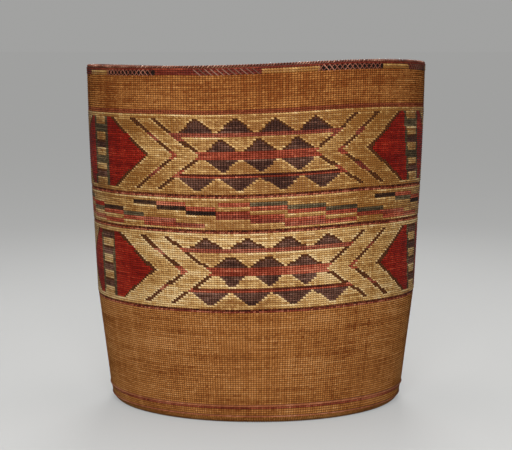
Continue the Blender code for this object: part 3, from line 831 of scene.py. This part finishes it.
def lay_rim_diagonals():
    """Long strands that cross the rim rows aslant, in the stretches that have them."""
    place = np.arange(0, WARPS, DIAGONAL_PITCH) - WARPS / 2
    local = half_round(place, RIM_STRETCHES[0][0])
    strand_dye = np.full(place.shape, "", dtype="U8")
    for start, _, diagonal in RIM_STRETCHES:
        strand_dye[local >= start] = diagonal or ""
    low, high = DIAGONAL_BOTTOM, DIAGONAL_TOP
    along = np.linspace(-1, 1, DIAGONAL_SECTIONS)[None, :, None]
    rim = np.array((-1, 0, 1))[None, None]
    crown = DIAGONAL_CROWN * np.sqrt(1 - DIAGONAL_FALL * along ** 2)
    for dye, lean, half, shade in DIAGONALS:
        chosen = place[strand_dye == dye][:, None, None]
        column = chosen + along * lean + rim * half
        level = (low + high) / 2 + along * (high - low) / 2 + 0 * column
        lift = crown - DIAGONAL_ROUNDING * np.abs(rim)
        radius = wall_radius(level) + (lift - UNDER_STRAND * (lean > 0)) * MM
        angle = column * STITCH_ANGLE
        points = np.stack((radius * np.sin(angle), -radius * np.cos(angle), level), -1)
        faces = strip_faces(len(chosen), DIAGONAL_SECTIONS, (0, 3, 2, 1))
        tone = np.repeat(random.normal(shade, DIAGONAL_SPREAD, len(chosen)), column[0].size)
        # Grime and painted shade darken each strand's edges
        crest = np.broadcast_to(1 - DIAGONAL_EDGE_GRIME_AND_SHADE * np.abs(rim), column.shape)
        turn = (column + WARPS / 2) / WARPS * DIAGONAL_STRIPS
        strip = np.floor((chosen + WARPS / 2) / WARPS * DIAGONAL_STRIPS) + 0 * column
        v = (strip + (level - low) / (high - low)) / DIAGONAL_STRIPS
        uv = np.stack((turn - strip, v), -1)
        weave = np.stack((level, angle * WEAVE_RADIUS), -1)
        side = "left" if lean < 0 else "right"
        obj = raw_mesh(f"rim_rows_{dye}_{side}_diagonals", settled(points.reshape(-1, 3)), faces,
                       uv.reshape(-1, 2), weave.reshape(-1, 2), tone, crest.ravel())
        add_piece(obj, dye, ())


def linear(colour):
    """sRGB numbers from 0 to 255 as linear light with alpha."""
    share = np.array(colour) / 255
    light = np.where(share <= 0.04045, share / 12.92, ((share + 0.055) / 1.055) ** 2.4)
    return (*[float(value) for value in light], 1)


def add_node(tree, kind, **settings):
    """A new node with its settings."""
    node = tree.nodes.new(kind)
    for key, value in settings.items():
        setattr(node, key, value)
    return node


def add_maths(tree, operation, one, other, clamp=False):
    """The result of one operation on two terms, each a number or a socket."""
    node = add_node(tree, "ShaderNodeMath", operation=operation, use_clamp=clamp)
    for socket, value in zip(node.inputs, (one, other)):
        if isinstance(value, (int, float)):
            socket.default_value = value
        else:
            tree.links.new(value, socket)
    return node.outputs[0]


def add_mix(tree, factor, one, other):
    """A colour from one to the other by the factor; each colour is a value or a socket."""
    node = add_node(tree, "ShaderNodeMix", data_type="RGBA", blend_type="MIX")
    tree.links.new(factor, node.inputs["Factor"])
    for socket, colour in ((node.inputs["A"], one), (node.inputs["B"], other)):
        if isinstance(colour, tuple):
            socket.default_value = colour
        else:
            tree.links.new(colour, socket)
    return node.outputs["Result"]


def shift(tree, shade, noise, amount):
    """The shade made lighter or darker by a noise that is 0.5 on average."""
    away = add_maths(tree, "SUBTRACT", noise, 0.5)
    return add_maths(tree, "ADD", shade, add_maths(tree, "MULTIPLY", away, amount))


def strand_material(name, shades, roughness, specular):
    """Split root or grass: shades by stitch, streaks along the strand, painted shade and grime in
    grooves.
    """
    material = bpy.data.materials.new(name)
    material.use_nodes = True
    tree = material.node_tree
    shader = tree.nodes["Principled BSDF"]
    shader.inputs["Roughness"].default_value = roughness
    shader.inputs["Specular IOR Level"].default_value = specular

    tone = add_node(tree, "ShaderNodeAttribute", attribute_name="tone").outputs["Fac"]
    crest = add_node(tree, "ShaderNodeAttribute", attribute_name="crest").outputs["Fac"]
    place = add_node(tree, "ShaderNodeUVMap", uv_map="weave")
    stretch = add_node(tree, "ShaderNodeMapping")
    stretch.inputs["Scale"].default_value = STREAK_SCALE
    tree.links.new(place.outputs["UV"], stretch.inputs["Vector"])
    streak = add_node(tree, "ShaderNodeTexNoise", noise_dimensions="2D")
    streak.inputs["Scale"].default_value = 1
    streak.inputs["Detail"].default_value = STREAK_DETAIL
    tree.links.new(stretch.outputs[0], streak.inputs["Vector"])
    where = add_node(tree, "ShaderNodeTexCoord")
    patch = add_node(tree, "ShaderNodeTexNoise")
    patch.inputs["Scale"].default_value = PATCH_SCALE
    patch.inputs["Detail"].default_value = PATCH_DETAIL
    tree.links.new(where.outputs["Object"], patch.inputs["Vector"])

    shade = shift(tree, tone, streak.outputs["Fac"], STREAK_SHADE)
    shade = shift(tree, shade, patch.outputs["Fac"], PATCH_SHADE)
    ramp = add_node(tree, "ShaderNodeValToRGB")
    ramp.color_ramp.elements.new(0.5)
    for element, colour in zip(ramp.color_ramp.elements, shades[1:]):
        element.color = linear(colour)
    tree.links.new(shade, ramp.inputs["Fac"])

    # How free each point is of grime and painted shade; the groove colour paints both
    clean_and_unshaded = add_maths(tree, "MULTIPLY", crest, 1.0, clamp=True)
    clean_and_unshaded = add_maths(tree, "POWER", clean_and_unshaded, GRIME_AND_SHADE_POWER)
    colour = add_mix(tree, clean_and_unshaded, linear(shades[0]), ramp.outputs["Color"])
    tree.links.new(colour, shader.inputs["Base Color"])

    bump = add_node(tree, "ShaderNodeBump")
    bump.inputs["Strength"].default_value = STREAK_RELIEF_STRENGTH
    bump.inputs["Distance"].default_value = STREAK_RELIEF
    tree.links.new(streak.outputs["Fac"], bump.inputs["Height"])
    tree.links.new(bump.outputs["Normal"], shader.inputs["Normal"])
    return material


def seen_directly(tree):
    """1 where the camera, a reflection or a glass sees it; 0 where light bounces off it."""
    path = add_node(tree, "ShaderNodeLightPath")
    seen = path.outputs["Is Camera Ray"]
    for ray in ("Is Glossy Ray", "Is Transmission Ray"):
        seen = add_maths(tree, "MAXIMUM", seen, path.outputs[ray])
    return seen


def strength_by_ray(tree, bounced, seen):
    """One strength for the light that bounces off, another for what is seen directly."""
    level = add_node(tree, "ShaderNodeMapRange")
    level.inputs["To Min"].default_value = bounced
    level.inputs["To Max"].default_value = seen
    tree.links.new(seen_directly(tree), level.inputs["Value"])
    return level.outputs["Result"]


def build_stage():
    """A pale floor without end, seen lighter than the light that it throws at the object."""
    material = bpy.data.materials.new("studio_paper")
    material.use_nodes = True
    tree = material.node_tree
    shader = tree.nodes["Principled BSDF"]
    colour = add_mix(tree, seen_directly(tree), linear(FLOOR_BOUNCED), linear(FLOOR_SEEN))
    tree.links.new(colour, shader.inputs["Base Color"])
    shader.inputs["Roughness"].default_value = FLOOR_ROUGHNESS
    shader.inputs["Specular IOR Level"].default_value = 0.0
    shader.inputs["Emission Color"].default_value = STUDIO_WHITE
    tree.links.new(strength_by_ray(tree, 0, FLOOR_GLOW), shader.inputs["Emission Strength"])
    half = FLOOR_HALF_WIDTH
    corners = ((-half, -half), (half, -half), (half, half), (-half, half))
    mesh = bpy.data.meshes.new("studio_floor")
    mesh.from_pydata([(x, y, -FLOOR_GAP) for x, y in corners], [], [(0, 1, 2, 3)])
    mesh.materials.append(material)
    floor = bpy.data.objects.new("studio_floor", mesh)
    bpy.context.scene.collection.objects.link(floor)


def build_lights():
    """Soft lights in front, above and behind, and an even world."""
    for name, (place, side, power, beam) in LIGHTS.items():
        light = bpy.data.lights.new(name, "AREA")
        light.shape = "SQUARE"
        light.size = side
        light.energy = power
        light.spread = radians(beam)
        obj = bpy.data.objects.new(name, light)
        bpy.context.scene.collection.objects.link(obj)
        obj.location = place
        aim = Vector(LIGHT_TARGET) - Vector(place)
        obj.rotation_euler = aim.to_track_quat("-Z", "Y").to_euler()
    world = bpy.data.worlds.new("studio")
    world.use_nodes = True
    tree = world.node_tree
    shader = tree.nodes["Background"]
    shader.inputs["Color"].default_value = STUDIO_WHITE
    strength = strength_by_ray(tree, WORLD_LIGHT, WORLD_SEEN)
    tree.links.new(strength, shader.inputs["Strength"])
    bpy.context.scene.world = world


def build_camera():
    """The photograph's view, a little from above."""
    camera = bpy.data.cameras.new("camera")
    camera.lens = CAMERA_LENS
    camera.sensor_width = CAMERA_SENSOR
    obj = bpy.data.objects.new("camera", camera)
    bpy.context.scene.collection.objects.link(obj)
    obj.location = CAMERA_PLACE
    obj.rotation_euler = (pi / 2 - CAMERA_PITCH, 0, 0)
    bpy.context.scene.camera = obj


build_camera()
materials = {dye: strand_material(dye + "_strand", look[:4], look[4], look[5])
             for dye, look in DYES.items()}
weave_warps()
weave_wall()
weave_foot()
weave_inside()
twist_rim_cord()
lay_rim_diagonals()
build_stage()
build_lights()
bpy.context.scene.view_settings.view_transform = "Standard"
